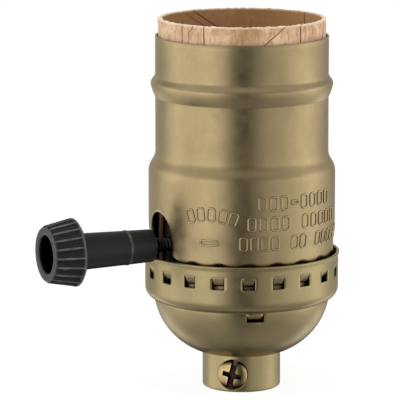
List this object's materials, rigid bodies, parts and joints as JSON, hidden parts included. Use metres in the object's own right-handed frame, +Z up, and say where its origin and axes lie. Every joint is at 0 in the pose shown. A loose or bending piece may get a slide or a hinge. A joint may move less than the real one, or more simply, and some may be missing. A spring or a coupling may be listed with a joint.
{
  "type": "turn knob lamp socket",
  "caption": "Brass-shelled lamp holder with a threaded neck, a press-and-pull shell, a fibre liner and a rotary switch worked by a ribbed side knob.",
  "frame": {"origin": "on the socket's axis at the lower face of the threaded neck", "axes": "+Z up the socket's axis to the lamp's mouth, the knob points along -X"},
  "size_m": [0.0603, 0.038, 0.0723],
  "materials": {
    "satin_brass": "satin",
    "bright_brass": "satin",
    "plated_steel": "bright",
    "spring_steel": "satin",
    "black_phenolic": "gloss",
    "knob_phenolic": "satin",
    "brown_fibre": "satin",
    "fibre_paper": "matt, fibrous"
  },
  "bodies": {
    "socket": {"cap": "satin_brass", "cap_hub": "satin_brass", "cap_liner": "fibre_paper", "switch_base": "black_phenolic", "switch_body": "black_phenolic", "body_rivets": "plated_steel", "screw_shell": "bright_brass", "shell_rivets": "bright_brass", "centre_rivet": "bright_brass", "load_contact": "bright_brass", "hot_terminal_plate": "bright_brass", "neutral_terminal_plate": "plated_steel", "detent_spring": "spring_steel"},
    "shell_cover": {"outer_shell": "satin_brass", "insulating_liner": "fibre_paper"},
    "knob_rotor": {"knob": "knob_phenolic", "knob_shaft": "plated_steel", "rotor_cam": "brown_fibre", "rotor_contact": "bright_brass", "retaining_clip": "spring_steel"},
    "centre_contact": {"centre_contact": "bright_brass"},
    "set_screw": {"set_screw": "bright_brass"},
    "hot_terminal_screw": {"hot_terminal_screw": "bright_brass"},
    "neutral_terminal_screw": {"neutral_terminal_screw": "plated_steel"}
  },
  "joints": [
    {"name": "knob_turn", "type": "hinge", "parent": "socket", "child": "knob_rotor", "pos_m": [0, 0, 0.02917], "axis": [-1, 0, 0], "continuous": true},
    {"name": "shell_pull", "type": "slide", "parent": "socket", "child": "shell_cover", "axis": [0, 0, 1], "range_m": [0, 0.05]},
    {"name": "centre_contact_press", "type": "hinge", "parent": "socket", "child": "centre_contact", "pos_m": [0.0082, 0, 0.04117], "axis": [0, -1, 0], "range_deg": [0, 7], "stiffness_Nm_per_rad": 0.05},
    {"name": "set_screw_out", "type": "slide", "parent": "socket", "child": "set_screw", "axis": [-0.6293, -0.7771, 0], "range_m": [0, 0.0025]},
    {"name": "hot_screw_turn", "type": "hinge", "parent": "socket", "child": "hot_terminal_screw", "pos_m": [0, 0.0126, 0.03367], "axis": [0, 1, 0], "range_deg": [0, 360]},
    {"name": "neutral_screw_turn", "type": "hinge", "parent": "socket", "child": "neutral_terminal_screw", "pos_m": [0, -0.0126, 0.03367], "axis": [0, -1, 0], "range_deg": [0, 360]}
  ]
}
